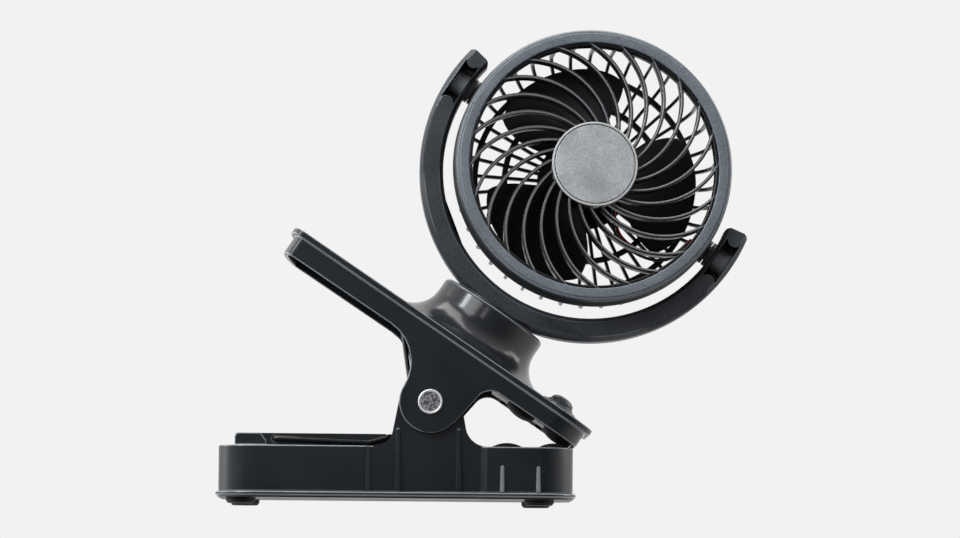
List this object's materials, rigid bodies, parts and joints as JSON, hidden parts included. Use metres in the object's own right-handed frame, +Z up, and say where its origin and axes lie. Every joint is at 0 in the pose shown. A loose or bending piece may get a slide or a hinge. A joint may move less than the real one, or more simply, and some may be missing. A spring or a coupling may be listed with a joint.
{
  "type": "portable camping fan",
  "caption": "Battery fan on a spring clamp base: caged round head tilting in a C-shaped yoke that swivels on a flared turret, with a wire hanging hook and a push button.",
  "frame": {"origin": "under the middle of the part's bounding box, on the plane that the feet stand on", "axes": "+X along the base from the battery end towards the clamp's tip, +Y away from the fan's front, +Z up"},
  "size_m": [0.2684, 0.1012, 0.2436],
  "materials": {
    "body_plastic": "charcoal plastic with a satin sheen",
    "cover_plastic": "near-black satin plastic",
    "inner_plastic": "black plastic",
    "pivot_plastic": "charcoal plastic",
    "bezel_plastic": "blue-grey plastic with a fine grain",
    "grille_plastic": "black satin plastic",
    "cap_plastic": "light grey plastic with a fine grain",
    "button_plastic": "charcoal plastic",
    "blade_plastic": "black plastic",
    "rubber": "dark grey rubber",
    "pin_metal": "bright rim, grey speckled face",
    "screw_steel": "zinc plated",
    "spring_steel": "spring steel",
    "hook_wire": "black coated wire",
    "battery": "shrink sleeve over a cell",
    "circuit_board": "green board",
    "port_metal": "plated shell",
    "motor_metal": "zinc plated can",
    "lead_cover": "insulation on the leads"
  },
  "bodies": {
    "base": {"base_shell": "body_plastic", "base_cover": "cover_plastic", "rubber_feet": "rubber", "cover_screws": "screw_steel", "battery_cells": "battery", "battery_cradle": "inner_plastic", "control_board": "circuit_board", "port_board": "circuit_board", "charging_port": "port_metal", "lower_pads": "rubber", "hinge_pin": "pin_metal", "clamp_springs": "spring_steel"},
    "hook": {"hanging_hook": "hook_wire"},
    "jaw": {"clamp_jaw": "body_plastic", "jaw_under_cover": "cover_plastic", "jaw_screws": "screw_steel", "upper_pads": "rubber", "switch_board": "circuit_board"},
    "button": {"power_button": "button_plastic"},
    "yoke": {"yoke_frame": "body_plastic", "yoke_rear_cover": "cover_plastic", "yoke_screws": "screw_steel", "swivel_disc": "inner_plastic", "swivel_retainer": "spring_steel"},
    "head": {"bezel_ring": "bezel_plastic", "front_grille": "grille_plastic", "hub_cap": "cap_plastic", "rear_cage": "grille_plastic", "fan_motor": "motor_metal", "motor_screws": "screw_steel", "motor_leads": "lead_cover", "pivot_pins": "pivot_plastic"},
    "rotor": {"motor_shaft": "screw_steel", "propeller": "blade_plastic"}
  },
  "joints": [
    {"name": "clamp_open", "type": "hinge", "parent": "base", "child": "jaw", "pos_m": [-0.02647, 0, 0.0515], "axis": [0, -1, 0], "range_deg": [0, 45], "stiffness_Nm_per_rad": 1.2, "springref_deg": -57.3, "deforming": ["clamp_springs"]},
    {"name": "hook_fold", "type": "hinge", "parent": "base", "child": "hook", "pos_m": [-0.10443, 0, 0.0327], "axis": [0, -1, 0], "range_deg": [0, 180]},
    {"name": "button_press", "type": "slide", "parent": "jaw", "child": "button", "axis": [-0.5592, 0, -0.829], "range_m": [0, 0.001], "stiffness_N_per_m": 900, "springref_m": -0.001},
    {"name": "yoke_swivel", "type": "hinge", "parent": "jaw", "child": "yoke", "pos_m": [0.0541, 0, 0.17096], "axis": [0.5592, 0, 0.829], "range_deg": [-180, 180]},
    {"name": "head_tilt", "type": "hinge", "parent": "yoke", "child": "head", "pos_m": [0.0541, 0, 0.17096], "axis": [0.829, 0, -0.5592], "range_deg": [-90, 90]},
    {"name": "propeller_spin", "type": "hinge", "parent": "head", "child": "rotor", "pos_m": [0.0541, 0, 0.17096], "axis": [0.0923, -0.9863, 0.1368], "continuous": true}
  ]
}
